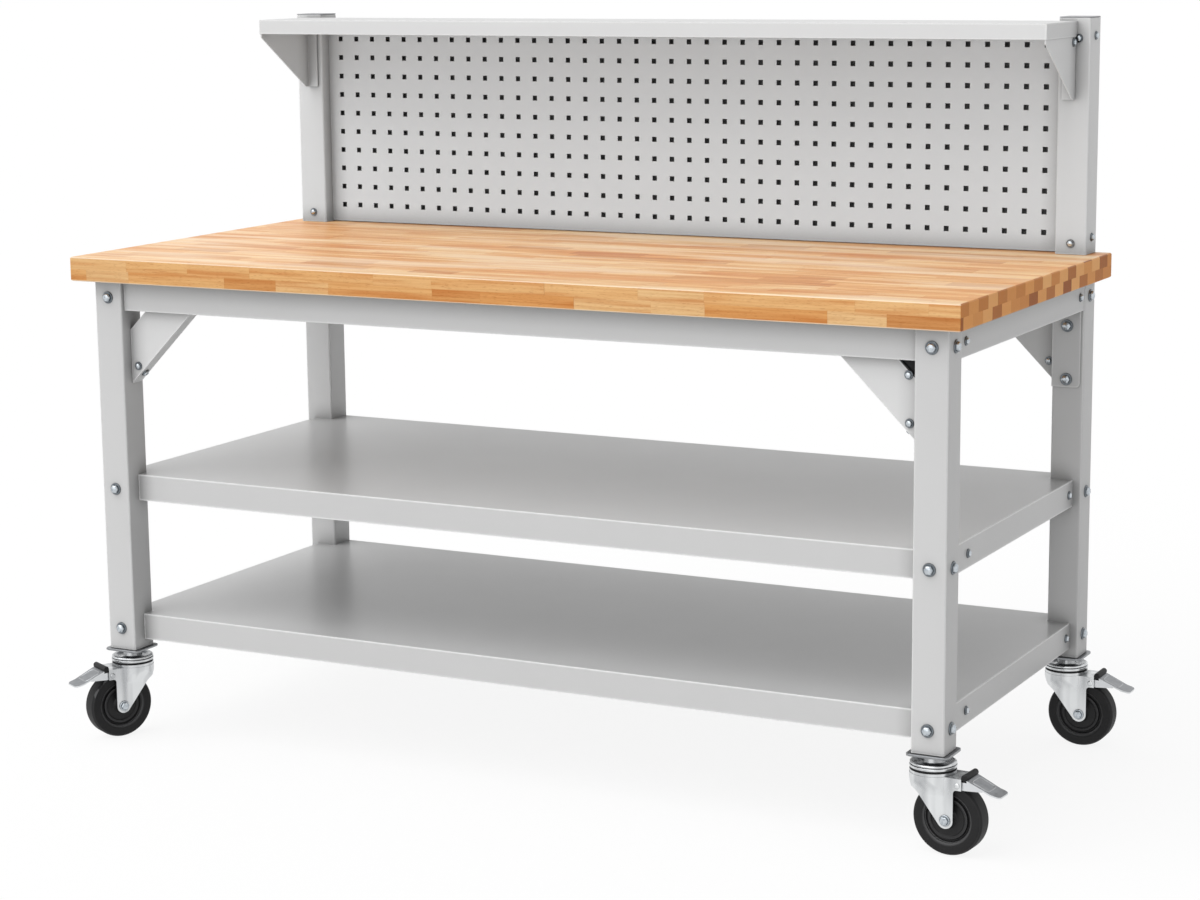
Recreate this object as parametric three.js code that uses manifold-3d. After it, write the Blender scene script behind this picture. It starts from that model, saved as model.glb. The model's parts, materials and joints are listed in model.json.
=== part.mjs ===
// Assembly table on castors: a laminated wood worktop on four square-tube legs, two tray shelves
// underneath, and a perforated back panel with a shelf on top between two uprights.
// Millimetres, +Z up, the front faces -Y. The origin is under the middle of the whole table.
import * as THREE from "three";
import { mergeVertices } from "three/addons/utils/BufferGeometryUtils.js";
import Module from "manifold-3d";

const wasm = await Module();
wasm.setup();

// Driving dimensions
const gap = 0.3; // clearance between pieces that touch
const tube = 60; // side of the square legs and uprights
const tubeWall = 2.5;
const tubeRadius = 4;
const sheet = 1.5; // folded sheet steel
const plateSteel = 2.5; // gussets and brackets

const topLength = 1760;
const topDepth = 800;
const topThickness = 45;
const topHeight = 928;
const topChamfer = 2;
const sideOverhang = 30;
const frontOverhang = 32;
const worktopMiddle = 24; // behind the origin, because a castor reaches out to the front

const castorHeight = 172; // floor to the bottom of a leg
const railHeight = 56;
const railTopFlange = 30;
const railBottomFlange = 30;
const apronSetback = 9; // aprons behind the faces of the legs
const railSetback = 2;

const middleShelfHeight = 510;
const lowerShelfHeight = 238;
const shelfFlange = 50;
const shelfLip = 14;
const shelfFrontSetback = 31;
const shelfSideSetback = 16;
const shelfRearSetback = 3;

const gussetReach = 140; // along the apron, and the same down the leg
const gussetClip = 38;
const gussetFold = 28;
const gussetSetback = 25;
const jointPlateWidth = 54;
const jointPlateDrop = 143;
const jointPlateCorner = 8;

const uprightTop = 1355;
const capThickness = 2;

const holePitch = 38;
const holeSide = 10;
const holeColumns = 41;
const holeRows = 10;
const panelEdge = 29.7; // edge of the panel to the nearest hole centres
const panelSkirt = 4; // added below the lowest row
const panelFoot = 2; // open strip between the worktop and the panel
const panelSetback = 27;
const panelFold = 20;

const topShelfHeight = 1350;
const topShelfDepth = 173;
const topShelfFlange = 28;
const topShelfSideSetback = 25;
const bracketFront = 7; // front edge of a bracket below the shelf's flange
const bracketTip = 1209;
const bracketTipWidth = 12;
const bracketFlange = 24;

const wheelRadius = 62.5;
const wheelWidth = 36;
const wheelSides = 12;
const pinSides = 6;
const boreSides = 8;
const tyreInner = 42;
const tyreSides = 20;
const tyreShoulder = { width: 8, drop: 3.5 };
const hubDisc = { rimHalf: 8, half: 13, outer: 35, inner: 14 };
const hubRadius = 11.5;
const trail = 33; // axle behind the swivel axis
const plateSide = 75;
const plateThickness = 4;
const plateCorner = 9;
const headRadius = 40;
const headBottom = 145;
const headHeight = 11; // of the raceway rim
const headNeck = { dish: 24, dishUp: 6, radius: 16 };
const kingpinRadius = 6;
const kingpinNut = { radius: 10, height: 4 };
const forkInner = 22; // half the space between the cheeks of the fork
const forkWall = 3;
const forkEye = 14; // round end of a cheek, about the axle
const forkNose = 134; // lower edge of the fork in front of the swivel axis
const forkFillet = 6;
const forkFlare = { bottom: 106, top: 132 }; // where the cheeks widen to the head
const collarSetback = 0.5;
const collarGap = 3; // open ring between the fork's collar and the head
const armEnd = 61.5;
const armTop = 137;
const armBottom = 117;
const axleRadius = 5;
const axleHead = { radius: 9, rim: 3, top: 5.5, height: 6 };
const runningGap = 0.6; // round a pin that turns in its hole
const pinGap = 0.4;
const pedalPivot = { along: 54, up: 125, radius: 3 };
const pedalRoot = { along: 70.5, up: 136 };
const pedalBend = { along: 112, up: 118 };
const pedalTip = { along: 128.2, up: 114 };
const pedalHalf = 24;
const pedalTipHalf = 21;
const pedalTipRadius = 9;
const pedalThickness = 2.5;
const pedalPlateDrop = 2.7; // the same thickness, measured straight down through the slope
const bufferBottom = 131.8;
const bufferTop = 142.5;
const bufferGap = 0.4;
const bufferBack = 1.5; // ahead of the pedal's plate

// Each castor's heading is the way its wheel trails, in degrees from +X towards +Y.
const castorHeadings = { front_left: -118, front_right: -4, rear_left: 176, rear_right: 0 };

// Places that follow from the driving dimensions
const frameTop = topHeight - topThickness - gap;
const legOuter = topLength / 2 - sideOverhang;
const legInner = legOuter - tube;
const frontLegFace = -topDepth / 2 + frontOverhang;
const rearLegFace = topDepth / 2;
const railBottom = frameTop - railHeight;
const forkOuter = forkInner + forkWall;
const castorX = legOuter - tube / 2;
const frontCastorY = frontLegFace + tube / 2;
const rearCastorY = rearLegFace - tube / 2;
const uprightFace = rearLegFace - tube;

const powderCoat = { color: 0xcdcdcd, roughness: 0.45, metalness: 0.0 };
const shelfCoat = { color: 0xb4b4b4, roughness: 0.35, metalness: 0.0 };
const beech = { color: 0xd9a066, roughness: 0.4, metalness: 0.0 };
const zinc = { color: 0xc4c6c8, roughness: 0.25, metalness: 1.0 };
const rubber = { color: 0x262626, roughness: 0.7, metalness: 0.0 };
const blackPlastic = { color: 0x1f1f1f, roughness: 0.5, metalness: 0.0 };

const table = new THREE.Group();

function addPiece(name, geometry, finish, parent = table) {
  const piece = new THREE.Mesh(geometry, new THREE.MeshStandardMaterial(finish));
  piece.name = name;
  parent.add(piece);
  return piece;
}

// Closed solids for joining and cutting, and back again
function toSolid(geometry) {
  const plain = geometry.clone();
  plain.deleteAttribute("normal");
  plain.deleteAttribute("uv");
  const welded = mergeVertices(plain, 1e-4);
  const vertProperties = welded.attributes.position.array;
  const triVerts = new Uint32Array(welded.index.array);
  return new wasm.Manifold(new wasm.Mesh({ numProp: 3, vertProperties, triVerts }));
}

function toGeometry(solid) {
  const mesh = solid.getMesh();
  const geometry = new THREE.BufferGeometry();
  geometry.setAttribute("position", new THREE.BufferAttribute(mesh.vertProperties, 3));
  geometry.setIndex(new THREE.BufferAttribute(mesh.triVerts, 1));
  return geometry;
}

// Outlines
function polygon(points) {
  return new THREE.Shape(points.map(([a, b]) => new THREE.Vector2(a, b)));
}

function roundedRectangle(width, height, radius) {
  const shape = new THREE.Shape();
  const a = width / 2 - radius;
  const b = height / 2 - radius;
  shape.absarc(a, b, radius, 0, Math.PI / 2);
  shape.absarc(-a, b, radius, Math.PI / 2, Math.PI);
  shape.absarc(-a, -b, radius, Math.PI, 1.5 * Math.PI);
  shape.absarc(a, -b, radius, 1.5 * Math.PI, 2 * Math.PI);
  return shape;
}

function direction(from, to) {
  const length = Math.hypot(to[0] - from[0], to[1] - from[1]);
  return [(to[0] - from[0]) / length, (to[1] - from[1]) / length];
}

// An anticlockwise outline with every edge moved inwards by the same distance
function inset(points, distance) {
  return points.map((corner, i) => {
    const u = direction(points.at(i - 1), corner);
    const v = direction(corner, points[(i + 1) % points.length]);
    const k = distance / (1 + u[0] * v[0] + u[1] * v[1]);
    return [corner[0] - k * (u[1] + v[1]), corner[1] + k * (u[0] + v[0])];
  });
}

// Extrusions. Along x an outline holds (y, z), along y it holds (x, z), and along z it holds (x, y).
const frames = {
  x: [new THREE.Vector3(0, 1, 0), new THREE.Vector3(0, 0, 1), new THREE.Vector3(1, 0, 0)],
  y: [new THREE.Vector3(1, 0, 0), new THREE.Vector3(0, 0, 1), new THREE.Vector3(0, -1, 0)],
  z: [new THREE.Vector3(1, 0, 0), new THREE.Vector3(0, 1, 0), new THREE.Vector3(0, 0, 1)],
};

function extrude(axis, shape, from, to, curveSegments = 1) {
  const settings = { depth: to - from, bevelEnabled: false, curveSegments };
  const geometry = new THREE.ExtrudeGeometry(shape, settings);
  geometry.applyMatrix4(new THREE.Matrix4().makeBasis(...frames[axis]));
  const start = axis === "y" ? to : from;
  return geometry.translate(axis === "x" ? start : 0, axis === "y" ? start : 0, axis === "z" ? start : 0);
}

function block(axis, points, from, to) {
  return toSolid(extrude(axis, polygon(points), from, to));
}

function rod(radius, from, to, along, up, sides) {
  const geometry = new THREE.CylinderGeometry(radius, radius, to - from, sides);
  return toSolid(geometry.translate(along, (from + to) / 2, up));
}

function revolveUpright(profile, sides) {
  const points = profile.map(([r, z]) => new THREE.Vector2(r, z));
  return new THREE.LatheGeometry(points, sides).rotateX(Math.PI / 2);
}

function revolveAlongAxle(profile, sides) {
  const points = profile.map(([r, y]) => new THREE.Vector2(r, y));
  return new THREE.LatheGeometry(points, sides, Math.PI / sides);
}

// Worktop
function worktopGeometry() {
  const shape = polygon([
    [-topLength / 2 + topChamfer, -topDepth / 2 + topChamfer],
    [topLength / 2 - topChamfer, -topDepth / 2 + topChamfer],
    [topLength / 2 - topChamfer, topDepth / 2 - topChamfer],
    [-topLength / 2 + topChamfer, topDepth / 2 - topChamfer],
  ]);
  const geometry = new THREE.ExtrudeGeometry(shape, {
    depth: topThickness - 2 * topChamfer,
    bevelThickness: topChamfer,
    bevelSize: topChamfer,
    bevelSegments: 1,
  });
  return geometry.translate(0, 0, topHeight - topThickness + topChamfer);
}

// Square tube standing on end, open at both ends
function tubeGeometry(bottom, top) {
  const shape = roundedRectangle(tube, tube, tubeRadius);
  const bore = tube - 2 * tubeWall;
  shape.holes.push(polygon([
    [-bore / 2, -bore / 2],
    [bore / 2, -bore / 2],
    [bore / 2, bore / 2],
    [-bore / 2, bore / 2],
  ]));
  return extrude("z", shape, bottom, top);
}

// Folded channel: a web with a flange at the top and one at the bottom, both turned inwards
function channelOutline(face, inwards) {
  return [
    [face, railBottom],
    [face + inwards * railBottomFlange, railBottom],
    [face + inwards * railBottomFlange, railBottom + sheet],
    [face + inwards * sheet, railBottom + sheet],
    [face + inwards * sheet, frameTop - sheet],
    [face + inwards * railTopFlange, frameTop - sheet],
    [face + inwards * railTopFlange, frameTop],
    [face, frameTop],
  ];
}

// Tray of folded sheet: a top, flanges turned down all round, and a lip turned in along their lower edge
function trayGeometry(outline, top, flange, lip) {
  const bottom = top - flange;
  const inner = inset(outline, sheet);
  let solid = block("z", outline, bottom, top);
  if (lip > 0) {
    solid = solid.subtract(block("z", inner, bottom + sheet, top - sheet));
    solid = solid.subtract(block("z", inset(outline, lip), bottom - 1, bottom + 2 * sheet));
  } else {
    solid = solid.subtract(block("z", inner, bottom - 1, top - sheet));
  }
  return toGeometry(solid);
}

// The two lower shelves are notched round the legs.
function shelfOutline() {
  const side = legOuter - shelfSideSetback;
  const notch = legInner - gap;
  const front = frontLegFace + shelfFrontSetback;
  const rear = rearLegFace - shelfRearSetback;
  const frontNotch = frontLegFace + tube + gap;
  const rearNotch = rearLegFace - tube - gap;
  const rightHalf = [
    [notch, front],
    [notch, frontNotch],
    [side, frontNotch],
    [side, rearNotch],
    [notch, rearNotch],
    [notch, rear],
  ];
  const leftHalf = rightHalf.map(([x, y]) => [-x, y]).reverse();
  return [...rightHalf, ...leftHalf];
}

// Gusset for a left leg, set back from the leg's front face: a clipped triangle under the apron
// with a fold along each of its edges
function gussetGeometry(legFace) {
  const leg = -legInner + gap;
  const top = railBottom - gap;
  const web = legFace + gussetSetback;
  const outline = [
    [leg, top - gussetReach],
    [leg + gussetReach, top],
    [leg + gussetClip, top],
    [leg, top - gussetClip],
  ];
  const solid = block("y", outline, web, web + gussetFold);
  const hollow = block("y", inset(outline, plateSteel), web + plateSteel, web + gussetFold + 1);
  return toGeometry(solid.subtract(hollow));
}

// Flat plate on the front face of the rear right leg, under the side rail
function jointPlateGeometry() {
  const leg = uprightFace - gap;
  const top = railBottom - gap;
  const bottom = top - jointPlateDrop;
  const outer = legInner + jointPlateWidth;
  const shape = new THREE.Shape();
  shape.moveTo(legInner, top);
  shape.lineTo(legInner, bottom);
  shape.absarc(outer - jointPlateCorner, bottom + jointPlateCorner, jointPlateCorner, -Math.PI / 2, 0);
  shape.lineTo(outer, top);
  return extrude("y", shape, leg - plateSteel, leg, 2);
}

// Perforated panel: a sheet with a grid of square holes and its four edges folded back
const panelHalf = legInner - gap;
const panelBottom = topHeight + panelFoot;
const lowestRow = panelBottom + panelSkirt + panelEdge;
const panelTop = lowestRow + (holeRows - 1) * holePitch + panelEdge;
const panelFace = uprightFace + panelSetback;

// One row of square punches, long enough to go through the sheet
function punchRow(z) {
  const half = holeSide / 2;
  let punches = null;
  for (let column = 0; column < holeColumns; column++) {
    const x = (column - (holeColumns - 1) / 2) * holePitch;
    const square = [
      [x - half, z - half],
      [x + half, z - half],
      [x + half, z + half],
      [x - half, z + half],
    ];
    const punch = block("y", square, panelFace - 1, panelFace + panelFold / 2);
    punches = punches ? punches.add(punch) : punch;
  }
  return punches;
}

function panelOutline(margin) {
  return [
    [-panelHalf + margin, panelBottom + margin],
    [panelHalf - margin, panelBottom + margin],
    [panelHalf - margin, panelTop - margin],
    [-panelHalf + margin, panelTop - margin],
  ];
}

function perforatedPanelGeometry() {
  const hollow = block("y", panelOutline(sheet), panelFace + sheet, panelFace + panelFold + 1);
  let solid = block("y", panelOutline(0), panelFace, panelFace + panelFold).subtract(hollow);
  for (let row = 0; row < holeRows; row++) {
    solid = solid.subtract(punchRow(lowestRow + row * holePitch));
  }
  return toGeometry(solid);
}

function panelBackGeometry() {
  const front = panelFace + panelFold + gap;
  return extrude("y", polygon(panelOutline(0)), front, front + sheet);
}

// Top shelf and the bracket under its right end
const topShelfEnd = legOuter - topShelfSideSetback;
const topShelfRear = uprightFace - gap;
const topShelfFront = topShelfRear - topShelfDepth;

function topShelfOutline() {
  return [
    [-topShelfEnd, topShelfFront],
    [topShelfEnd, topShelfFront],
    [topShelfEnd, topShelfRear],
    [-topShelfEnd, topShelfRear],
  ];
}

function bracketGeometry() {
  const outer = topShelfEnd - sheet - gap;
  const inner = outer - plateSteel;
  const top = topShelfHeight - sheet - gap;
  const front = topShelfFront + sheet + gap;
  const rear = topShelfRear - sheet - gap;
  const outline = [
    [front, top],
    [front, topShelfHeight - topShelfFlange - bracketFront],
    [rear - bracketTipWidth, bracketTip],
    [rear, bracketTip],
    [rear, top],
  ];
  const plate = block("x", outline, inner, outer);
  const strip = [
    [outer - bracketFlange, bracketTip],
    [outer, bracketTip],
    [outer, top],
    [outer - bracketFlange, top],
  ];
  return toGeometry(plate.add(block("y", strip, rear - plateSteel, rear)));
}

// Castor pieces, drawn with the wheel trailing towards +X and the swivel axis on the origin
function castorPlateGeometry() {
  const top = castorHeight - gap;
  return extrude("z", roundedRectangle(plateSide, plateSide, plateCorner), top - plateThickness, top);
}

// Raceway head: a dished ring on a neck, with the kingpin and its nut below it
function castorHeadGeometry() {
  const top = castorHeight - plateThickness - 2 * gap;
  const nutTop = armTop - forkWall - gap;
  const rimTop = headBottom + headHeight;
  const profile = [
    [0, nutTop - kingpinNut.height],
    [kingpinNut.radius, nutTop - kingpinNut.height],
    [kingpinNut.radius, nutTop],
    [kingpinRadius, nutTop],
    [kingpinRadius, headBottom],
    [headRadius - 3, headBottom],
    [headRadius, headBottom + 4],
    [headRadius - 3, rimTop],
    [headNeck.dish, headBottom + headNeck.dishUp],
    [headNeck.radius, top],
    [0, top],
  ];
  return revolveUpright(profile, wheelSides);
}

// Side view of the fork: a nose under the head, a straight slope to the round eye of the axle,
// and an arm over the wheel that carries the brake pedal
function forkSideShape() {
  const slopeX = trail + headRadius;
  const slopeZ = wheelRadius - forkNose;
  const slope = Math.atan2(slopeZ, slopeX) - Math.asin(forkEye / Math.hypot(slopeX, slopeZ));
  const eyeEdge = trail + forkEye;
  const shape = new THREE.Shape();
  shape.moveTo(-headRadius, armTop);
  shape.lineTo(-headRadius, forkNose);
  shape.absarc(trail, wheelRadius, forkEye, slope - Math.PI / 2, 0);
  shape.absarc(eyeEdge + forkFillet, armBottom - forkFillet, forkFillet, Math.PI, Math.PI / 2, true);
  shape.lineTo(armEnd, armBottom);
  shape.lineTo(armEnd, armTop);
  return shape;
}

// Plan of the fork: round under the head, straight sides along the arm
function forkPlanShape(radius, half, end) {
  const turn = Math.asin(half / radius);
  const shape = new THREE.Shape();
  shape.moveTo(end, -half);
  shape.lineTo(end, half);
  shape.absarc(0, 0, radius, turn, 2 * Math.PI - turn);
  return shape;
}

// End view of the fork: parallel cheeks that flare out to the width of the head
function forkEndOutline(half, radius, bottom, top) {
  const rightHalf = [
    [half, bottom],
    [half, forkFlare.bottom],
    [radius, forkFlare.top],
    [radius, top],
  ];
  const leftHalf = rightHalf.map(([y, z]) => [-y, z]).reverse();
  return [...rightHalf, ...leftHalf];
}

function uprightRod(radius, from, to, sides) {
  const geometry = new THREE.CylinderGeometry(radius, radius, to - from, sides);
  return toSolid(geometry.rotateX(Math.PI / 2).translate(0, 0, (from + to) / 2));
}

function forkGeometry() {
  const far = 100;
  const crownBottom = armTop - forkWall;
  const side = toSolid(extrude("y", forkSideShape(), -headRadius, headRadius, 2));
  const plan = toSolid(extrude("z", forkPlanShape(headRadius, forkOuter, armEnd), 0, armTop, 4));
  const end = block("x", forkEndOutline(forkOuter, headRadius, 0, armTop), -far, far);
  const innerRadius = headRadius - forkWall;
  const innerPlan = toSolid(extrude("z", forkPlanShape(innerRadius, forkInner, far), -1, crownBottom, 2));
  const innerEnd = block("x", forkEndOutline(forkInner, innerRadius, -1, crownBottom), -far, far);
  const collarBottom = crownBottom + collarSetback;
  const collarTop = headBottom - collarGap;
  const solid = side
    .intersect(plan)
    .intersect(end)
    .subtract(innerPlan.intersect(innerEnd))
    .add(uprightRod(headRadius - collarSetback, collarBottom, collarTop, wheelSides))
    .subtract(uprightRod(kingpinRadius + runningGap, armBottom, headBottom, boreSides))
    .subtract(rod(axleRadius + runningGap, -far, far, trail, wheelRadius, boreSides))
    .subtract(rod(pedalPivot.radius + pinGap, -far, far, pedalPivot.along, pedalPivot.up, boreSides));
  return toGeometry(solid);
}

function axleGeometry() {
  const inner = forkOuter + gap;
  const rightHalf = [
    [axleRadius, inner],
    [axleHead.radius, inner],
    [axleHead.radius, inner + axleHead.rim],
    [axleHead.top, inner + axleHead.height],
    [0, inner + axleHead.height],
  ];
  const leftHalf = rightHalf.map(([r, y]) => [r, -y]).reverse();
  return revolveAlongAxle([...leftHalf, ...rightHalf], pinSides);
}

// Wheel body: a hub that fills the fork, a dished disc and a groove under the tyre
function wheelGeometry() {
  const hubHalf = forkInner - runningGap;
  const rightHalf = [
    [tyreInner - 2 * gap, hubDisc.rimHalf],
    [hubDisc.outer, hubDisc.half],
    [hubDisc.inner, hubDisc.half],
    [hubRadius, hubHalf],
    [axleRadius + runningGap, hubHalf],
  ];
  const leftHalf = rightHalf.map(([r, y]) => [r, -y]).reverse();
  const loop = [...leftHalf, ...rightHalf];
  return revolveAlongAxle([...loop, loop[0]], wheelSides);
}

// The flats of the tyre's facets lie on the wheel's true radius, and one of them is on the floor.
function tyreGeometry() {
  const tread = wheelRadius / Math.cos(Math.PI / tyreSides);
  const half = wheelWidth / 2;
  const rightHalf = [
    [tread, half - tyreShoulder.width],
    [tread - tyreShoulder.drop, half - 1],
    [tyreInner, half],
  ];
  const leftHalf = rightHalf.map(([r, y]) => [r, -y]).reverse();
  const loop = [...leftHalf, ...rightHalf];
  return revolveAlongAxle([...loop, loop[0]], tyreSides);
}

// Plan of the foot plate: it narrows a little to a tip with round corners
function pedalPlanShape() {
  const end = pedalTip.along - pedalTipRadius;
  const corner = pedalTipHalf - pedalTipRadius;
  const shape = new THREE.Shape();
  shape.moveTo(pedalRoot.along, -pedalHalf);
  shape.lineTo(end, -pedalTipHalf);
  shape.absarc(end, -corner, pedalTipRadius, -Math.PI / 2, 0);
  shape.absarc(end, corner, pedalTipRadius, 0, Math.PI / 2);
  shape.lineTo(pedalRoot.along, pedalHalf);
  return shape;
}

// Brake pedal: a foot plate that is bent flatter at its tip, on two cheeks that turn on a pin through
// the fork's arms, with a shoe above the tread
function pedalGeometry() {
  const cheekOuter = forkInner - 0.5;
  const cheekInner = cheekOuter - pedalThickness;
  const topLine = [pedalRoot, pedalBend, pedalTip].map(({ along, up }) => [along, up]);
  const underLine = topLine.map(([along, up]) => [along, up - pedalPlateDrop]).reverse();
  const slope = block("y", [...underLine, ...topLine], -pedalHalf, pedalHalf);
  const plan = toSolid(extrude("z", pedalPlanShape(), armBottom - armTop, 2 * armTop, 2));
  const cheek = [
    [47, 119],
    [66, 117.5],
    [97, 119.5],
    [99, 122.6],
    [71.5, 134.2],
    [70, 131.5],
    [49, 131.5],
  ];
  const shoe = [
    [60, 124.5],
    [74, 118.5],
    [74, 132.5],
    [71.5, 133.5],
    [70, 131],
    [60, 131],
  ];
  const pinEnd = forkOuter - 0.2;
  const solid = slope
    .intersect(plan)
    .add(block("y", cheek, cheekInner, cheekOuter))
    .add(block("y", cheek, -cheekOuter, -cheekInner))
    .add(block("y", shoe, -cheekInner - 0.5, cheekInner + 0.5))
    .add(rod(pedalPivot.radius, -pinEnd, pinEnd, pedalPivot.along, pedalPivot.up, pinSides));
  return toGeometry(solid);
}

// Rubber roll between the end of the fork's arm and the foot plate
function bufferGeometry() {
  const front = armEnd + bufferGap;
  const back = pedalRoot.along - bufferBack;
  const radius = (back - front) / 2;
  const shape = new THREE.Shape();
  shape.moveTo(front, bufferBottom);
  shape.lineTo(back, bufferBottom);
  shape.absarc((front + back) / 2, bufferTop - radius, radius, 0, Math.PI);
  return extrude("y", shape, -pedalHalf - 0.5, pedalHalf + 0.5, 3);
}

function addCastor(corner, x, y) {
  const plate = addPiece(`${corner}_castor_plate`, castorPlateGeometry(), zinc);
  plate.position.set(x, y, 0);
  const head = addPiece(`${corner}_castor_head`, castorHeadGeometry(), zinc);
  head.position.set(x, y, 0);
  const swivel = new THREE.Group();
  swivel.position.set(x, y, 0);
  swivel.rotation.z = THREE.MathUtils.degToRad(castorHeadings[corner]);
  table.add(swivel);
  addPiece(`${corner}_fork`, forkGeometry(), zinc, swivel);
  addPiece(`${corner}_brake_pedal`, pedalGeometry(), zinc, swivel);
  addPiece(`${corner}_brake_buffer`, bufferGeometry(), rubber, swivel);
  const axle = addPiece(`${corner}_axle`, axleGeometry(), zinc, swivel);
  const wheel = addPiece(`${corner}_wheel`, wheelGeometry(), blackPlastic, swivel);
  const tyre = addPiece(`${corner}_tyre`, tyreGeometry(), rubber, swivel);
  for (const piece of [axle, wheel, tyre]) {
    piece.position.set(trail, 0, wheelRadius);
  }
}

// Assembly
addPiece("worktop", worktopGeometry(), beech);

for (const [side, x] of [["left", -castorX], ["right", castorX]]) {
  for (const [end, y] of [["front", frontCastorY], ["rear", rearCastorY]]) {
    const leg = addPiece(`${end}_${side}_leg`, tubeGeometry(castorHeight, frameTop), powderCoat);
    leg.position.set(x, y, 0);
    addCastor(`${end}_${side}`, x, y);
  }
  const upright = addPiece(`${side}_upright`, tubeGeometry(topHeight + gap, uprightTop), powderCoat);
  upright.position.set(x, rearCastorY, 0);
  const capShape = roundedRectangle(tube, tube, tubeRadius);
  const capBottom = uprightTop + gap;
  const capGeometry = extrude("z", capShape, capBottom, capBottom + capThickness);
  const cap = addPiece(`${side}_upright_cap`, capGeometry, blackPlastic);
  cap.position.set(x, rearCastorY, 0);
}

const apronHalf = legInner - gap;
const frontApron = polygon(channelOutline(frontLegFace + apronSetback, 1));
const rearApron = polygon(channelOutline(rearLegFace - apronSetback, -1));
addPiece("front_apron", extrude("x", frontApron, -apronHalf, apronHalf), powderCoat);
addPiece("rear_apron", extrude("x", rearApron, -apronHalf, apronHalf), powderCoat);
for (const [side, sign] of [["left", -1], ["right", 1]]) {
  const outline = polygon(channelOutline(sign * (legOuter - railSetback), -sign));
  const from = frontLegFace + tube + gap;
  addPiece(`${side}_side_rail`, extrude("y", outline, from, uprightFace - gap), powderCoat);
}

addPiece("front_left_gusset", gussetGeometry(frontLegFace), powderCoat);
addPiece("front_right_gusset", gussetGeometry(frontLegFace), powderCoat).scale.x = -1;
addPiece("rear_right_gusset", gussetGeometry(uprightFace), powderCoat).scale.x = -1;
addPiece("rear_right_joint_plate", jointPlateGeometry(), powderCoat);

addPiece("middle_shelf", trayGeometry(shelfOutline(), middleShelfHeight, shelfFlange, shelfLip), shelfCoat);
addPiece("lower_shelf", trayGeometry(shelfOutline(), lowerShelfHeight, shelfFlange, shelfLip), shelfCoat);

addPiece("perforated_panel", perforatedPanelGeometry(), powderCoat);
addPiece("panel_back", panelBackGeometry(), powderCoat);
addPiece("top_shelf", trayGeometry(topShelfOutline(), topShelfHeight, topShelfFlange, 0), powderCoat);
addPiece("right_shelf_bracket", bracketGeometry(), powderCoat);
addPiece("left_shelf_bracket", bracketGeometry(), powderCoat).scale.x = -1;

table.position.y = worktopMiddle;

export default table;
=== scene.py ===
import json
import math
import bpy
import bmesh
from mathutils import Euler, Matrix, Vector


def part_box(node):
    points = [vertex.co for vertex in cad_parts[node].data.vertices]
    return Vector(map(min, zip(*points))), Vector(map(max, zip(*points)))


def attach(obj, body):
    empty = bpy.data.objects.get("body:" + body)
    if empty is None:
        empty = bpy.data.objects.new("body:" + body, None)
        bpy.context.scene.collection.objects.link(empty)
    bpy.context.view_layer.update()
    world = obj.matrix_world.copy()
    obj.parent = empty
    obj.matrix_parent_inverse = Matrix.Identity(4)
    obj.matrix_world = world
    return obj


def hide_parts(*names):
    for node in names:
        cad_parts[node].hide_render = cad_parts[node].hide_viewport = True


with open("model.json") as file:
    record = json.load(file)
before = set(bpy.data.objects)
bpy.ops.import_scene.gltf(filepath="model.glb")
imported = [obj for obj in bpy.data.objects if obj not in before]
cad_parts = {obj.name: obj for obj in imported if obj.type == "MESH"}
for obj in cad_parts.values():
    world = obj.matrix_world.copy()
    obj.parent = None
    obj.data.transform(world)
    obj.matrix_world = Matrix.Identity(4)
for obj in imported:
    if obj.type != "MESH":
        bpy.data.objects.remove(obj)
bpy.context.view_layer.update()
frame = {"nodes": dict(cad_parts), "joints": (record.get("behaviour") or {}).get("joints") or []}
nodes = frame["nodes"]
corners = ("front_left", "front_right", "rear_left", "rear_right")
print("frame loaded:", len(nodes), "nodes")


def linear(hexColour):
    channels = [int(hexColour[i:i + 2], 16) / 255 for i in (1, 3, 5)]
    return tuple(c / 12.92 if c <= 0.04045 else ((c + 0.055) / 1.055) ** 2.4 for c in channels) + (1.0,)


# an input is a value, a socket, or a node whose first output is meant
def feed(tree, node, inputs):
    for key, value in inputs.items():
        source = value.outputs[0] if isinstance(value, bpy.types.Node) else value
        if isinstance(source, bpy.types.NodeSocket):
            tree.links.new(source, node.inputs[key])
        else:
            node.inputs[key].default_value = source


# adds one node: settings are its own properties, and stops are the colours of a ramp
def addNode(tree, kind, settings=None, inputs=None, stops=()):
    node = tree.nodes.new(kind)
    for key, value in (settings or {}).items():
        setattr(node, key, value)
    feed(tree, node, inputs or {})
    while stops and len(node.color_ramp.elements) < len(stops):
        node.color_ramp.elements.new(0.5)
    for k, (position, colour) in enumerate(stops):
        node.color_ramp.elements[k].position = position
        node.color_ramp.elements[k].color = linear(colour)
    return node


def newMaterial(name, values):
    material = bpy.data.materials.new(name)
    material.use_nodes = True
    tree = material.node_tree
    shader = tree.nodes["Principled BSDF"]
    feed(tree, shader, values)
    return material, tree, shader


mixing = {"data_type": "RGBA"}  # settings of the nodes that mix two colours
multiplying = {"data_type": "RGBA", "blend_type": "MULTIPLY"}


# materials

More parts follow.
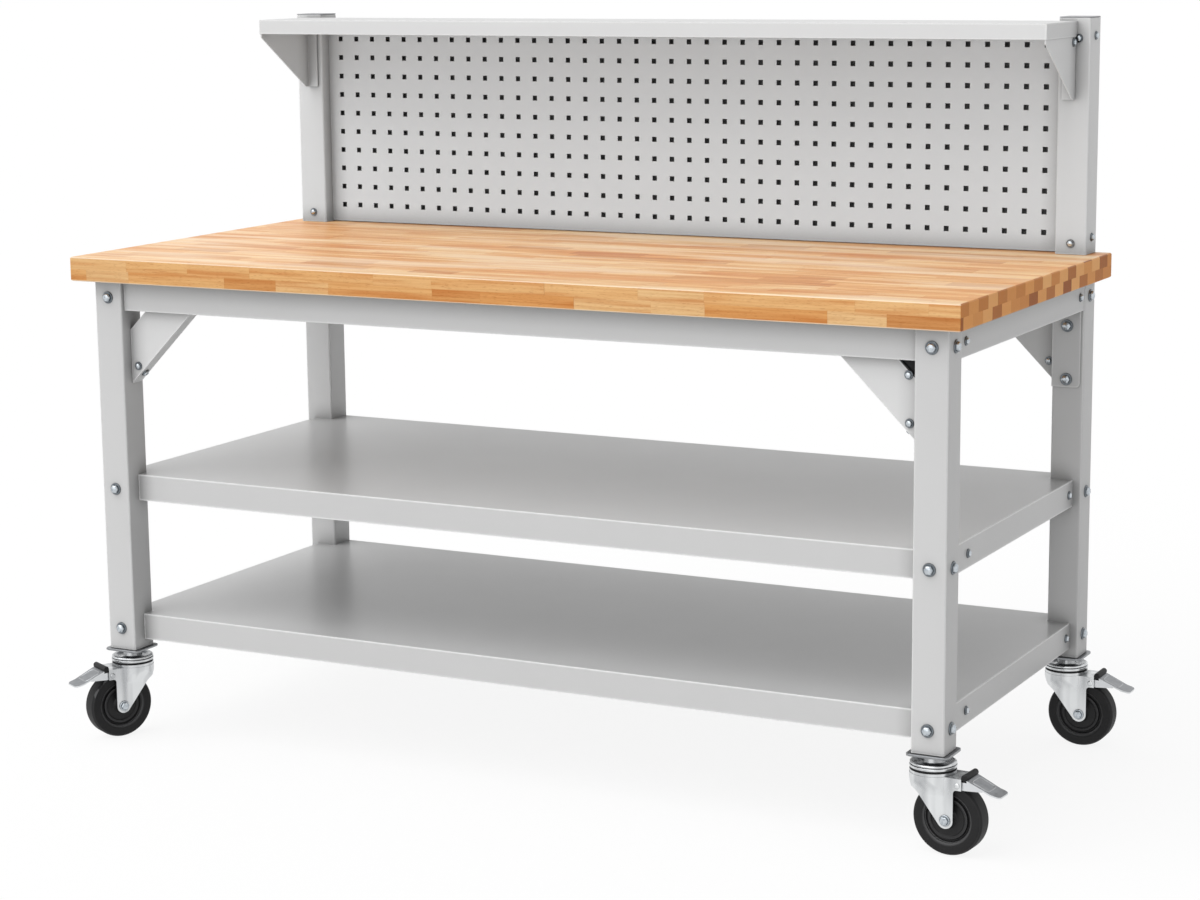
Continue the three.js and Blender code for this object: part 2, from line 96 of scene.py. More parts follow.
beechLook = {
    "stave": 0.046,  # width of one stave
    "countFrom": 1.0,  # rows are counted from this far before the front edge
    "lengths": (0.11, 0.12),  # shortest stave, and what chance adds to it
    "wobble": 0.25,  # of a stave, so that the staves of a row differ in length
    "layerShift": 0.45,  # of a stave, so that the joints of the two layers don't line up
    "layerRows": 211.0,  # rows are counted on from here in the upper layer, so that it has its own staves
    "starts": 9.0,  # staves by which chance may shift a row
    "wobbleRate": 2.4,  # radians in a stave
    "tones": ((0.0, "#FDDBA4"), (0.45, "#FBCE8F"), (0.75, "#F4BC78"), (0.92, "#E4AA6B"), (1.0, "#D99D63")),
    "endTones": ((0.0, "#FFC27A"), (0.42, "#F2AA5C"), (0.58, "#DB8E42"), (1.0, "#A85E1C")),
    "lightByDark": 0.45,  # how much of an end's tone goes by turns, as staves are laid light by dark
    "faceTone": ("#FACB8D", 0.35),  # what the staves of the planed face share, and how much of it
    # tint that darkens the upright faces: painted shade, together with the edges' deeper oil
    "edgeShadeAndOil": "#E6DCD6",
    "grainJump": (40.0, 40.0, 40.0),  # how far apart in the grain two staves may start
    "grain": {  # width, length in widths, detail, where it starts and is full, how much, tint
        "band": (0.009, 26, 2.0, (0.45, 0.7), 0.6, "#E4B88E"),
        "streak": (0.0035, 34, 3.0, (0.42, 0.72), 0.42, "#DBB286"),
        "fleck": (0.0011, 9, 1.0, (0.6, 0.7), 0.3, "#B98552"),  # coarser than real flecks, to show at all
    },
    "sweep": (0.045, 9, 3.0),  # width, length in widths and detail of the patches on the planed face
    "faceSheenAndOil": (  # where it starts and is full, how much, blend, tint
        # the pale entry is painted sheen, the deep one uneven oil
        ((0.52, 0.34), 0.45, "MIX", "#FFECD4"),
        ((0.48, 0.68), 0.66, "MULTIPLY", "#E6B07A"),
    ),
    "pore": (0.0014, 0.35, "#B98A5E"),  # on the end grain, coarser than real pores too
    "glue": (0.0005, 0.3, "#9C6A3C"),
    "edge": (0.6, (0.4, 0.3), "#FFEFD6"),  # painted highlight on the chamfered long edges: how much, where it turns, tone
    "endTurn": 0.6,  # faces that look along the staves by more than this are ends
    "bounce": "#C4C2C0",
    "sheen": (0.3, 0.06), "gloss": (0.34, 0.48),  # face and edges, and between streaks and in them
    "bump": (0.08, 0.0004),  # strength and depth of the flecks
}


# counts the staves: where a point is across and along them, every second row, and each stave's own chance
def staveCells(tree, place):
    look = beechLook
    lo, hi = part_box("worktop")
    x, y, z = addNode(tree, "ShaderNodeSeparateXYZ", inputs={0: place}).outputs
    layer = addNode(tree, "ShaderNodeMath", {"operation": "GREATER_THAN"}, {0: z, 1: (lo.z + hi.z) / 2})
    shift = {0: layer, 1: look["stave"] * look["layerShift"], 2: y}
    shifted = addNode(tree, "ShaderNodeMath", {"operation": "MULTIPLY_ADD"}, shift)
    first = lo.y - look["countFrom"]
    fromEdge = addNode(tree, "ShaderNodeMath", {"operation": "SUBTRACT"}, {0: shifted, 1: first})
    across = addNode(tree, "ShaderNodeMath", {"operation": "DIVIDE"}, {0: fromEdge, 1: look["stave"]})
    count = addNode(tree, "ShaderNodeMath", {"operation": "FLOOR"}, {0: across})
    row = addNode(tree, "ShaderNodeMath", {"operation": "MULTIPLY_ADD"}, {
        0: layer, 1: look["layerRows"], 2: count})
    everySecond = addNode(tree, "ShaderNodeMath", {"operation": "FLOORED_MODULO"}, {0: row, 1: 2.0})

    # each row has its own length of stave and starts at its own place
    rowChance = addNode(tree, "ShaderNodeTexWhiteNoise", {"noise_dimensions": "1D"}, {"W": row})
    chances = addNode(tree, "ShaderNodeSeparateColor", inputs={0: rowChance.outputs["Color"]}).outputs
    length = addNode(tree, "ShaderNodeMapRange", inputs={
        "Value": chances[0], "To Min": look["lengths"][0], "To Max": sum(look["lengths"])})
    start = addNode(tree, "ShaderNodeMath", {"operation": "MULTIPLY"}, {0: chances[1], 1: look["starts"]})
    lengths = addNode(tree, "ShaderNodeMath", {"operation": "DIVIDE"}, {0: x, 1: length})
    even = addNode(tree, "ShaderNodeMath", {"operation": "ADD"}, {0: lengths, 1: start})
    faster = addNode(tree, "ShaderNodeMath", {"operation": "MULTIPLY"}, {0: even, 1: look["wobbleRate"]})
    wave = addNode(tree, "ShaderNodeMath", {"operation": "SINE"}, {0: faster})
    along = addNode(tree, "ShaderNodeMath", {"operation": "MULTIPLY_ADD"}, {
        0: wave, 1: look["wobble"], 2: even})
    stave = addNode(tree, "ShaderNodeMath", {"operation": "FLOOR"}, {0: along})
    cell = addNode(tree, "ShaderNodeCombineXYZ", inputs={0: row, 1: stave})
    chance = addNode(tree, "ShaderNodeTexWhiteNoise", inputs={"Vector": cell})
    return across, along, everySecond, chance


# Beech butcher block, planed and oiled: short staves in two layers, each its own honey tone, with fine
# streaks and flecks along them, end grain on the ends, and a satin sheen
def makeBeech():
    look = beechLook
    material, tree, shader = newMaterial("beech_butcher_block", {"IOR": 1.5})
    place = addNode(tree, "ShaderNodeTexCoord").outputs["Object"]
    across, along, everySecond, chance = staveCells(tree, place)
    normal = addNode(tree, "ShaderNodeNewGeometry").outputs["True Normal"]
    facing = addNode(tree, "ShaderNodeVectorMath", {"operation": "ABSOLUTE"}, {0: normal})
    turned = addNode(tree, "ShaderNodeSeparateXYZ", inputs={0: facing}).outputs
    toEnd, up = turned[0], turned[2]
    upright = addNode(tree, "ShaderNodeMath", {"operation": "SUBTRACT"}, {0: 1.0, 1: up})
    onEnd = addNode(tree, "ShaderNodeMath", {"operation": "GREATER_THAN"}, {0: toEnd, 1: look["endTurn"]})

    # staves of the planed face look more alike than those of the edges
    sharedTone, share = look["faceTone"]
    tone = addNode(tree, "ShaderNodeValToRGB", inputs={"Fac": chance}, stops=look["tones"])
    shared = addNode(tree, "ShaderNodeMapRange", inputs={"Value": upright, "To Min": share, "To Max": 0.0})
    colour = addNode(tree, "ShaderNodeMix", mixing, {0: shared, 6: tone, 7: linear(sharedTone)}).outputs[2]

    # each stave starts at its own place in the grain, which is noise drawn out along x
    jump = addNode(tree, "ShaderNodeVectorMath", {"operation": "MULTIPLY"}, {
        0: chance.outputs["Color"], 1: look["grainJump"]})
    moved = addNode(tree, "ShaderNodeVectorMath", {"operation": "ADD"}, {0: place, 1: jump})
    grain = {}
    for name, (width, ratio, detail, (low, high), most, tint) in look["grain"].items():
        stretch = (1 / (width * ratio), 1 / width, 1 / width)
        drawn = addNode(tree, "ShaderNodeVectorMath", {"operation": "MULTIPLY"}, {0: moved, 1: stretch})
        grain[name] = addNode(tree, "ShaderNodeTexNoise", inputs={
            "Vector": drawn, "Scale": 1.0, "Detail": detail})
        amount = addNode(tree, "ShaderNodeMapRange", inputs={
            "Value": grain[name], "From Min": low, "From Max": high, "To Min": 0.0, "To Max": most})
        colour = addNode(tree, "ShaderNodeMix", multiplying, {
            0: amount, 6: colour, 7: linear(tint)}).outputs[2]

    # on the planed face, pale patches along the grain are painted sheen, and deep patches are oil that stands
    # unevenly
    width, ratio, detail = look["sweep"]
    drawn = addNode(tree, "ShaderNodeVectorMath", {"operation": "MULTIPLY"}, {
        0: place, 1: (1 / (width * ratio), 1 / width, 1 / width)})
    sweep = addNode(tree, "ShaderNodeTexNoise", inputs={"Vector": drawn, "Scale": 1.0, "Detail": detail})
    for (low, high), most, blend, tint in look["faceSheenAndOil"]:
        amount = addNode(tree, "ShaderNodeMapRange", inputs={
            "Value": sweep, "From Min": low, "From Max": high, "To Min": 0.0, "To Max": most})
        onFace = addNode(tree, "ShaderNodeMath", {"operation": "MULTIPLY"}, {0: amount, 1: up})
        colour = addNode(tree, "ShaderNodeMix", {"data_type": "RGBA", "blend_type": blend}, {
            0: onFace, 6: colour, 7: linear(tint)}).outputs[2]

    # edges are darker than the face, partly as painted shade on every upright face and partly as more oil
    # drunk in, and end grain drinks the most
    oiled = addNode(tree, "ShaderNodeMix", multiplying, {
        0: upright, 6: colour, 7: linear(look["edgeShadeAndOil"])}).outputs[2]
    endTone = addNode(tree, "ShaderNodeMix", inputs={0: look["lightByDark"], 2: chance, 3: everySecond})
    ends = addNode(tree, "ShaderNodeValToRGB", inputs={"Fac": endTone}, stops=look["endTones"])
    poreSize, poreShare, poreTint = look["pore"]
    pores = addNode(tree, "ShaderNodeTexNoise", inputs={
        "Vector": moved, "Scale": 1 / poreSize, "Detail": 2.0})
    inPore = addNode(tree, "ShaderNodeMath", {"operation": "MULTIPLY"}, {0: pores, 1: poreShare})
    endGrain = addNode(tree, "ShaderNodeMix", multiplying, {
        0: inPore, 6: ends, 7: linear(poreTint)}).outputs[2]
    wood = addNode(tree, "ShaderNodeMix", mixing, {0: onEnd, 6: oiled, 7: endGrain}).outputs[2]

    # thin glue lines between the staves, and a painted highlight on the chamfered long edges
    lineWidth, lineShare, lineTint = look["glue"]
    line = None
    for cells, size in ((across, look["stave"]), (along, sum(look["lengths"]))):
        fromJoint = addNode(tree, "ShaderNodeMath", {"operation": "PINGPONG"}, {0: cells, 1: 0.5})
        near = addNode(tree, "ShaderNodeMath", {"operation": "LESS_THAN"}, {
            0: fromJoint, 1: lineWidth / size / 2})
        line = near if line is None else addNode(
            tree, "ShaderNodeMath", {"operation": "MAXIMUM"}, {0: line, 1: near})
    faint = addNode(tree, "ShaderNodeMath", {"operation": "MULTIPLY"}, {0: line, 1: lineShare})
    glued = addNode(tree, "ShaderNodeMix", multiplying, {0: faint, 6: wood, 7: linear(lineTint)}).outputs[2]
    edgeHighlightShare, (turn, spread), edgeHighlightTone = look["edge"]
    onEdge = addNode(tree, "ShaderNodeMath", {"operation": "COMPARE"}, {0: upright, 1: turn, 2: spread})
    onLong = addNode(tree, "ShaderNodeMath", {"operation": "SUBTRACT", "use_clamp": True}, {
        0: onEdge, 1: onEnd})
    edgeHighlight = addNode(tree, "ShaderNodeMath", {"operation": "MULTIPLY"}, {0: onLong, 1: edgeHighlightShare})
    withEdgeHighlight = addNode(tree, "ShaderNodeMix", mixing, {0: edgeHighlight, 6: glued, 7: linear(edgeHighlightTone)}).outputs[2]

    # the wood's colour is left out of the light that it throws on the steel
    thrown = addNode(tree, "ShaderNodeLightPath").outputs["Is Diffuse Ray"]
    base = addNode(tree, "ShaderNodeMix", mixing, {
        0: thrown, 6: withEdgeHighlight, 7: linear(look["bounce"])}).outputs[2]
    sheen = addNode(tree, "ShaderNodeMapRange", inputs={
        "Value": upright, "To Min": look["sheen"][0], "To Max": look["sheen"][1]})
    gloss = addNode(tree, "ShaderNodeMapRange", inputs={
        "Value": grain["streak"], "To Min": look["gloss"][0], "To Max": look["gloss"][1]})
    strength, depth = look["bump"]
    bump = addNode(tree, "ShaderNodeBump", inputs={
        "Strength": strength, "Distance": depth, "Height": grain["fleck"]})
    feed(tree, shader, {"Base Color": base, "Specular IOR Level": sheen, "Roughness": gloss, "Normal": bump})
    return material


coatLook = {
    "cloud": 0.14,  # size of the faint clouds in the grey
    "peel": (0.0014, 0.06, 0.0003),  # size, strength and depth of the orange peel
    "glossSpread": 0.05,
    "fold": (0.0045, (0.985, 0.9), "#FFFFFF"),  # painted highlight along folds and edges: reach, wider than real to show, where it turns, tone
    "topShade": (0.9, (0.75, 1.0), "#F0F0F0"),  # painted shade on upper faces: how far up a face looks, its least and most amount across the clouds, and tint
    "dustAndCornerShade": (0.04, (0.95, 0.45), "#BCBCBC"),  # painted shade in corners: reach, how open a corner is where it starts and is full, tint
}


# Powder-coated steel: sprayed and baked, so the grey is even, with a faint orange peel in the sheen. Folds
# and cut edges get a painted highlight, upper faces a patchy painted shade, and corners a painted shade that
# deepens as they close in
def makePowderCoat(name, colour, shade, roughness, foldHighlightShare):
    look = coatLook
    material, tree, shader = newMaterial(name, {"IOR": 1.5})
    place = addNode(tree, "ShaderNodeTexCoord").outputs["Object"]
    cloud = addNode(tree, "ShaderNodeTexNoise", inputs={"Vector": place, "Scale": 1 / look["cloud"]})
    coat = addNode(tree, "ShaderNodeMix", mixing, {0: cloud, 6: linear(colour), 7: linear(shade)}).outputs[2]
    flat = addNode(tree, "ShaderNodeNewGeometry").outputs["True Normal"]
    up = addNode(tree, "ShaderNodeSeparateXYZ", inputs={0: flat}).outputs[2]

    # painted shade on the upper faces, patchy with the clouds
    upper, (least, most), topShadeTint = look["topShade"]
    topShadeAmount = addNode(tree, "ShaderNodeMapRange", inputs={"Value": cloud, "To Min": least, "To Max": most})
    onTop = addNode(tree, "ShaderNodeMath", {"operation": "GREATER_THAN"}, {0: up, 1: upper})
    topShadeAndDust = addNode(tree, "ShaderNodeMath", {"operation": "MULTIPLY"}, {0: onTop, 1: topShadeAmount})
    dull = addNode(tree, "ShaderNodeMix", multiplying, {0: topShadeAndDust, 6: coat, 7: linear(topShadeTint)}).outputs[2]

    # painted shade: the more enclosed a point, the darker
    reach, (clear, full), cornerShadeTint = look["dustAndCornerShade"]
    opened = addNode(tree, "ShaderNodeAmbientOcclusion", {"samples": 6}, {"Distance": reach}).outputs["AO"]
    dustAndCornerShade = addNode(tree, "ShaderNodeMapRange", inputs={"Value": opened, "From Min": clear, "From Max": full})
    cornerShaded = addNode(tree, "ShaderNodeMix", multiplying, {0: dustAndCornerShade, 6: dull, 7: linear(cornerShadeTint)}).outputs[2]

    # painted highlight: faces near a fold or edge are mixed towards the pale tone
    reach, (level, turned), foldTone = look["fold"]
    rounded = addNode(tree, "ShaderNodeBevel", {"samples": 6}, {"Radius": reach})
    turn = addNode(tree, "ShaderNodeVectorMath", {"operation": "DOT_PRODUCT"}, {0: flat, 1: rounded})
    onFoldHighlight = addNode(tree, "ShaderNodeMapRange", inputs={
        "Value": turn.outputs["Value"], "From Min": level, "From Max": turned, "To Max": foldHighlightShare})
    base = addNode(tree, "ShaderNodeMix", mixing, {0: onFoldHighlight, 6: cornerShaded, 7: linear(foldTone)}).outputs[2]

    size, strength, depth = look["peel"]
    peel = addNode(tree, "ShaderNodeTexNoise", inputs={"Vector": place, "Scale": 1 / size, "Detail": 1.0})
    gloss = addNode(tree, "ShaderNodeMapRange", inputs={
        "Value": peel, "To Min": roughness - look["glossSpread"], "To Max": roughness + look["glossSpread"]})
    bump = addNode(tree, "ShaderNodeBump", inputs={"Strength": strength, "Distance": depth, "Height": peel})
    feed(tree, shader, {"Base Color": base, "Roughness": gloss, "Normal": bump})
    return material


zincLook = {
    "cloud": (0.35, 0.65),  # where the patches are dull and bright
    "glossSpread": 0.07,
    "cornerShade": (0.014, (0.85, 0.35), "#505255"),  # painted shade in corners: reach, how open a corner is where it starts and is full, tint
}


# Zinc-plated steel: bright and slightly blue, in cloudy patches; where drawn stretches them along z they
# become long bands of painted reflection. Corners get a painted shade that deepens as they close in
def makeZinc(name, colour, shade, roughness, patch, drawn=1.0):
    look = zincLook
    material, tree, shader = newMaterial(name, {"Metallic": 1.0})
    place = addNode(tree, "ShaderNodeTexCoord").outputs["Object"]
    # stretched along z the patches stand as bands of painted reflection
    stretch = (1, 1, 1 / drawn)
    along = addNode(tree, "ShaderNodeVectorMath", {"operation": "MULTIPLY"}, {0: place, 1: stretch})
    cloud = addNode(tree, "ShaderNodeTexNoise", inputs={"Vector": along, "Scale": 1 / patch, "Detail": 1.0})
    plated = addNode(tree, "ShaderNodeValToRGB", inputs={"Fac": cloud}, stops=(
        (look["cloud"][0], shade), (look["cloud"][1], colour)))
    # painted shade: the more enclosed a point, the darker
    reach, (clear, full), zincCornerTint = look["cornerShade"]
    opened = addNode(tree, "ShaderNodeAmbientOcclusion", {"samples": 6}, {"Distance": reach}).outputs["AO"]
    cornerShade = addNode(tree, "ShaderNodeMapRange", inputs={"Value": opened, "From Min": clear, "From Max": full})
    base = addNode(tree, "ShaderNodeMix", multiplying, {0: cornerShade, 6: plated, 7: linear(zincCornerTint)}).outputs[2]
    gloss = addNode(tree, "ShaderNodeMapRange", inputs={
        "Value": cloud, "To Min": roughness - look["glossSpread"], "To Max": roughness + look["glossSpread"]})
    feed(tree, shader, {"Base Color": base, "Roughness": gloss})
    return material


pedalShadeLook = {
    # bright for the sides, and the mottled grey painted as shade on the upward faces
    "bright": "#D6D8DA", "dull": ((0.35, "#86888B"), (0.65, "#95979A")), "patch": 0.012,
    "upper": (0.3, 0.6),  # how far up a face looks where the painted shade starts and is full
    "gloss": (0.28, 0.44),
}


# Zinc-plated pedal: bright at its sides, with a mottled grey painted as shade on its upward faces
def makePedalZinc():
    look = pedalShadeLook
    material, tree, shader = newMaterial("zinc_plate_painted_shade_on_top", {"Metallic": 1.0})
    coords = addNode(tree, "ShaderNodeTexCoord").outputs
    cloud = addNode(tree, "ShaderNodeTexNoise", inputs={
        "Vector": coords["Object"], "Scale": 1 / look["patch"], "Detail": 3.0})
    up = addNode(tree, "ShaderNodeSeparateXYZ", inputs={0: coords["Normal"]}).outputs[2]
    topShadeAndDust = addNode(tree, "ShaderNodeMapRange", inputs={
        "Value": up, "From Min": look["upper"][0], "From Max": look["upper"][1]})
    dull = addNode(tree, "ShaderNodeValToRGB", inputs={"Fac": cloud}, stops=look["dull"])
    base = addNode(tree, "ShaderNodeMix", mixing, {0: topShadeAndDust, 6: linear(look["bright"]), 7: dull}).outputs[2]
    gloss = addNode(tree, "ShaderNodeMapRange", inputs={
        "Value": cloud, "To Min": look["gloss"][0], "To Max": look["gloss"][1]})
    feed(tree, shader, {"Base Color": base, "Roughness": gloss})
    return material


mouldedLook = {
    "speck": (0.3, 0.8),  # where the grain is clean and dusty
    "edge": (0.51, 0.56),  # how sharp an edge is where the painted highlight starts and is full
    "glossSpread": 0.08, "bump": (0.15, 0.0004),
}


# Black rubber and moulded plastic: deep grey with a fine moulded grain that breaks up the highlight, and a
# painted highlight along its sharp edges
def makeMoulded(name, colour, dustAndCornerShade, paleEdgeHighlight, roughness, grain):
    look = mouldedLook
    material, tree, shader = newMaterial(name, {"IOR": 1.5, "Specular IOR Level": 0.3})
    place = addNode(tree, "ShaderNodeTexCoord").outputs["Object"]
    speck = addNode(tree, "ShaderNodeTexNoise", inputs={"Vector": place, "Scale": 1 / grain})
    topShadeAndDust = addNode(tree, "ShaderNodeValToRGB", inputs={"Fac": speck}, stops=(
        (look["speck"][0], colour), (look["speck"][1], dustAndCornerShade)))
    # painted highlight along sharp edges
    sharp = addNode(tree, "ShaderNodeNewGeometry").outputs["Pointiness"]
    edgeHighlightAmount = addNode(tree, "ShaderNodeMapRange", inputs={
        "Value": sharp, "From Min": look["edge"][0], "From Max": look["edge"][1]})
    base = addNode(tree, "ShaderNodeMix", mixing, {0: edgeHighlightAmount, 6: topShadeAndDust, 7: linear(paleEdgeHighlight)}).outputs[2]
    gloss = addNode(tree, "ShaderNodeMapRange", inputs={
        "Value": speck, "To Min": roughness - look["glossSpread"], "To Max": roughness + look["glossSpread"]})
    strength, depth = look["bump"]
    bump = addNode(tree, "ShaderNodeBump", inputs={"Strength": strength, "Distance": depth, "Height": speck})
    feed(tree, shader, {"Base Color": base, "Roughness": gloss, "Normal": bump})
    return material


beech = makeBeech()
greyCoat = makePowderCoat("light_grey_powder_coat", "#CDCDCD", "#CACACA", 0.42, 0.6)
# lighter copies of the same grey coat, for the panel unit, gussets and brackets: painted light
panelCoat = makePowderCoat("grey_powder_coat_painted_lighter", "#DBDBDB", "#D8D8D8", 0.42, 0.45)
punchedCoat = makePowderCoat("grey_powder_coat_painted_lightest", "#E1E1E1", "#DEDEDE", 0.42, 0.15)
shelfCoat = makePowderCoat("satin_grey_powder_coat", "#CBCBCB", "#C7C7C7", 0.3, 1.0)
# its long bands on the fork, head and rivets are painted reflection
zinc = makeZinc("zinc_plated_pressed_steel", "#E0E2E3", "#B4B6B8", 0.28, 0.02, 8.0)
# a darker copy of the zinc for the castor plates: painted shade
shadedPlateZinc = makeZinc("zinc_plate_steel_painted_darker", "#97999B", "#8B8D90", 0.36, 0.02)
# a darker copy of the zinc for the pedal's pressed frame: painted shade
shadedRidgeZinc = makeZinc("zinc_ridge_steel_painted_darker", "#B2B4B6", "#A6A8AA", 0.34, 0.012)
pedalZinc = makePedalZinc()
boltZinc = makeZinc("bright_zinc_bolt_steel", "#C9CFD4", "#AEB5BB", 0.27, 0.006)
# a darker copy of the bolt zinc for the flanges: painted shade
flangeZinc = makeZinc("zinc_bolt_flange_painted_darker", "#858B90", "#757B80", 0.33, 0.006)
# the third colour of each is its painted edge highlight
tyreRubber = makeMoulded("black_tyre_rubber", "#0E0E0F", "#19191A", "#5C5C5D", 0.6, 0.003)
softRubber = makeMoulded("black_moulded_rubber", "#0F0F10", "#1B1B1C", "#232324", 0.6, 0.003)
hubPlastic = makeMoulded("black_moulded_hub", "#131314", "#1C1C1D", "#626263", 0.5, 0.002)
capPlastic = makeMoulded("grey_moulded_cap", "#86878A", "#8E8F91", "#A8A9AB", 0.5, 0.002)
print("materials made")


# the solids: each node gets its finish and slightly broken edges

# node group that shades round edges smooth and leaves the sharp ones
def makeSmoothing(degrees):
    tree = bpy.data.node_groups.new("smooth_round_edges", "GeometryNodeTree")
    for way in ("INPUT", "OUTPUT"):
        tree.interface.new_socket("Geometry", in_out=way, socket_type="NodeSocketGeometry")
    shape = addNode(tree, "NodeGroupInput")
    faces = addNode(tree, "GeometryNodeSetShadeSmooth", {"domain": "FACE"}, {"Geometry": shape})
    turn = addNode(tree, "GeometryNodeInputMeshEdgeAngle")
    gentle = addNode(tree, "FunctionNodeCompare", {"operation": "LESS_THAN"}, {
        "A": turn, "B": math.radians(degrees)})
    edges = addNode(tree, "GeometryNodeSetShadeSmooth", {"domain": "EDGE"}, {
        "Geometry": faces, "Shade Smooth": gentle})
    addNode(tree, "NodeGroupOutput", inputs={"Geometry": edges})
    return tree


edgeLook = {
    "sharp": 50, "weld": 0.00002, "steps": 2,  # degrees, and how near two points are one
    "widths": {
        "worktop": 0.0012, "leg": 0.0006, "upright": 0.0006, "apron": 0.0006, "rail": 0.0006, "shelf": 0.0006,
        "gusset": 0.0006, "bracket": 0.0006, "plate": 0.0008, "cap": 0.0006, "pedal": 0.0005,
    },
}
smoothing = makeSmoothing(edgeLook["sharp"])


def softenEdges(piece, width):
    piece.modifiers.new("weld", "WELD").merge_threshold = edgeLook["weld"]
    bevel = piece.modifiers.new("edge", "BEVEL")
    bevel.width = width
    bevel.segments = edgeLook["steps"]
    bevel.limit_method = "ANGLE"
    bevel.angle_limit = math.radians(edgeLook["sharp"])
    piece.modifiers.new("smooth", "NODES").node_group = smoothing
    piece.modifiers.new("flats", "WEIGHTED_NORMAL").keep_sharp = True


finishes = {  # by the end of a node's name; the rest are grey, and the castors are dressed further on
    "worktop": beech, "middle_shelf": shelfCoat, "lower_shelf": shelfCoat,
    "perforated_panel": punchedCoat, "bracket": punchedCoat,
    "top_shelf": panelCoat, "upright": panelCoat, "gusset": panelCoat,
    "castor_plate": shadedPlateZinc, "brake_pedal": pedalZinc, "cap": capPlastic,
}
for name, piece in nodes.items():
    finish = next((finishes[end] for end in finishes if name.endswith(end)), greyCoat)
    piece.data.materials.clear()
    piece.data.materials.append(finish)
    for word, width in edgeLook["widths"].items():
        if word in name:
            softenEdges(piece, width)
            break
print("solids finished")


# making pieces

def smoothByAngle(bm, degrees):
    limit = math.radians(degrees)
    for face in bm.faces:
        face.smooth = True
    for edge in bm.edges:
        edge.smooth = edge.is_manifold and edge.calc_face_angle(0.0) < limit


def meshFrom(name, bm, material, degrees=35):
    bmesh.ops.recalc_face_normals(bm, faces=bm.faces)
    smoothByAngle(bm, degrees)
    mesh = bpy.data.meshes.new(name)
    bm.to_mesh(mesh)
    bm.free()
    mesh.materials.append(material)
    return mesh


def addPiece(name, mesh, body, matrix=None, replaced=()):
    piece = bpy.data.objects.new(name, mesh)
    bpy.context.scene.collection.objects.link(piece)
    if matrix is not None:
        piece.matrix_world = matrix
    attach(piece, body)
    if replaced:
        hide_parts(*replaced)
    return piece


# turns a profile of (radius, height) about z; a closed profile makes a ring
def lathe(bm, profile, segments, closed=False, matrix=None):
    rings = []
    for radius, height in profile:
        if radius < 1e-6:
            rings.append([bm.verts.new((0, 0, height))])
            continue
        turns = [2 * math.pi * k / segments for k in range(segments)]
        rings.append([bm.verts.new((radius * math.cos(t), radius * math.sin(t), height)) for t in turns])
    pairs = list(zip(rings, rings[1:])) + ([(rings[-1], rings[0])] if closed else [])
    for a, b in pairs:
        for k in range(segments):
            quad = [a[k % len(a)], a[(k + 1) % len(a)], b[(k + 1) % len(b)], b[k % len(b)]]
            corner = list(dict.fromkeys(quad))
            if len(corner) > 2:
                bm.faces.new(corner)
    if matrix is not None:
        bmesh.ops.transform(bm, matrix=matrix, verts=[v for ring in rings for v in ring])


# rounds a profile's corners: each point is (a, b) or (a, b, radius)
def roundedProfile(points, closed=False, steps=5):
    made = []
    count = len(points)
    for i, point in enumerate(points):
        radius = point[2] if len(point) > 2 else 0.0
        inner = closed or 0 < i < count - 1
        if radius <= 0 or not inner:
            made.append((point[0], point[1]))
            continue
        here = Vector(point[:2])
        before = (Vector(points[i - 1][:2]) - here).normalized()
        after = (Vector(points[(i + 1) % count][:2]) - here).normalized()
        half = before.angle(after) / 2
        reach = radius / math.tan(half)
        start, end = here + before * reach, here + after * reach
        for k in range(steps + 1):
            t = k / steps
            bend = start * (1 - t) ** 2 + here * 2 * t * (1 - t) + end * t ** 2
            made.append((bend.x, bend.y))
    return made


# bolts: a hexagon head with a domed top on a round flange, which takes a darker copy of the zinc as painted
# shade

boltLook = {
    "segments": 28, "sides": 6, "flangeHeight": 0.0022,
    "flange": ((0, 0), (1, 0), (1, 0.5), (0.93, 1), (0, 1)),  # in flange radii and heights
    "headRadius": 0.74,  # in flange radii
    "foot": 0.6, "shoulder": 0.9,  # in flange heights, and in heights of the head below its dome
    "dome": 0.35,  # share of the height
    "curve": ((0.9, 0.45), (0.62, 0.85)),  # of the dome, in head radii and dome heights
}


def addBolt(bm, place, outward, flangeRadius, height):
    look = boltLook
    spin = Vector((0, 0, 1)).rotation_difference(Vector(outward)).to_matrix().to_4x4()
    matrix = Matrix.Translation(place) @ spin
    rim = look["flangeHeight"]
    flange = [(flangeRadius * r, rim * h) for r, h in look["flange"]]
    bright = set(bm.faces)
    lathe(bm, flange, look["segments"], matrix=matrix)
    # the flange faces take the second slot, the darker zinc: painted shade
    for face in set(bm.faces) - bright:
        face.material_index = 1
    radius, foot = flangeRadius * look["headRadius"], rim * look["foot"]
    dome = height * look["dome"]
    top = height - dome
    head = [(0, foot), (radius, foot), (radius, top * look["shoulder"])]
    head += [(radius * r, top + dome * h) for r, h in look["curve"]] + [(0, height)]
    lathe(bm, head, look["sides"], matrix=matrix)


def boltGroup(name, places, flangeRadius, height, body="frame"):
    bm = bmesh.new()
    for place, outward in places:
        addBolt(bm, Vector(place), outward, flangeRadius, height)
    mesh = meshFrom(name, bm, boltZinc, 40)
    mesh.materials.append(flangeZinc)
    addPiece(name, mesh, body)


legBolts = {
    "flange": 0.0114, "height": 0.0085,
    "heights": (0.213, 0.485, 0.851),
    "plate": (0.015, 0.029, 0.001),  # up from the joint plate's foot, down from its top, and sideways
}

